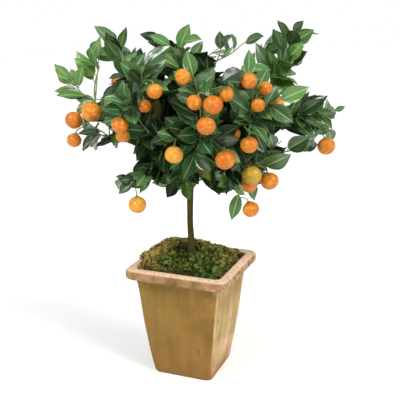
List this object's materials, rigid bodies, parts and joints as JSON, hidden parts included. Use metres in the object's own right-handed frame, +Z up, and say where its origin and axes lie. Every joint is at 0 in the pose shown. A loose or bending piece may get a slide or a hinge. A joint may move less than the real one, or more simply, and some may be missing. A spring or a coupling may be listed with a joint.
{
  "type": "potted calamondin bonsai",
  "caption": "small citrus tree with a slim bare trunk and a broad leafy crown of small round orange fruit, in a square tapered earthenware pot topped with moss",
  "frame": {"origin": "centre of the pot's flat underside, on the surface it stands on", "axes": "+Z up along the trunk; the pot's four faces look along +X, -X, +Y and -Y; the tree's best side looks 21 degrees from -Y towards +X"},
  "size_m": [0.5109, 0.4589, 0.683],
  "materials": {
    "pot": "unglazed earthenware, ochre with pinkish rim, chalky bloom and faint vertical streaks, matt",
    "soil": "dark crumbly bark and peat potting mix, matt",
    "moss": "living cushion moss, olive to bright green with brown tips, soft and matt",
    "bark": "smooth grey-brown citrus bark with greenish cast and fine fissures",
    "leaf": "glossy dark green citrus leaf, paler and matt below, with pale midrib",
    "peel_orange": "ripe orange citrus peel with fine oil glands, satin gloss",
    "peel_amber": "yellow-orange citrus peel with fine oil glands, satin gloss",
    "peel_green": "half-ripe citrus peel, yellow-green with an orange flush, satin gloss"
  },
  "bodies": {
    "root": {"pot": "pot", "soil": "soil", "moss": "moss", "trunk": "bark", "spray_top_left": "leaf", "spray_left_upper": "leaf", "spray_left_mid": "leaf", "spray_upper_left": "leaf", "spray_top": "leaf", "spray_top_right": "leaf", "spray_tall_right": "leaf", "spray_right_upper": "leaf", "spray_right_low": "leaf", "spray_front_right": "leaf", "spray_front_mid": "leaf", "spray_front_left": "leaf", "spray_low_left": "leaf", "spray_low_right": "leaf", "spray_trunk_sprout": "leaf", "spray_back_left": "leaf", "spray_back": "leaf", "spray_back_right": "leaf", "spray_back_top": "leaf", "spray_back_low": "leaf", "fruit_01": "peel_orange", "fruit_02": "peel_orange", "fruit_03": "peel_orange", "fruit_04": "peel_orange", "fruit_05": "peel_orange", "fruit_06": "peel_orange", "fruit_07": "peel_orange", "fruit_08": "peel_orange", "fruit_09": "peel_orange", "fruit_10": "peel_orange", "fruit_11": "peel_orange", "fruit_12": "peel_orange", "fruit_13": "peel_orange", "fruit_14": "peel_amber", "fruit_15": "peel_orange", "fruit_16": "peel_orange", "fruit_17": "peel_orange", "fruit_18": "peel_amber", "fruit_19": "peel_orange", "fruit_20": "peel_orange", "fruit_21": "peel_orange", "fruit_22": "peel_green", "fruit_23": "peel_orange", "fruit_24": "peel_orange", "fruit_25": "peel_orange", "fruit_26": "peel_amber", "fruit_27": "peel_orange", "fruit_28": "peel_orange", "fruit_29": "peel_orange", "fruit_30": "peel_amber", "fruit_31": "peel_orange", "fruit_32": "peel_orange", "fruit_33": "peel_orange", "fruit_34": "peel_orange", "fruit_35": "peel_orange", "fruit_36": "peel_green"}
  },
  "joints": []
}
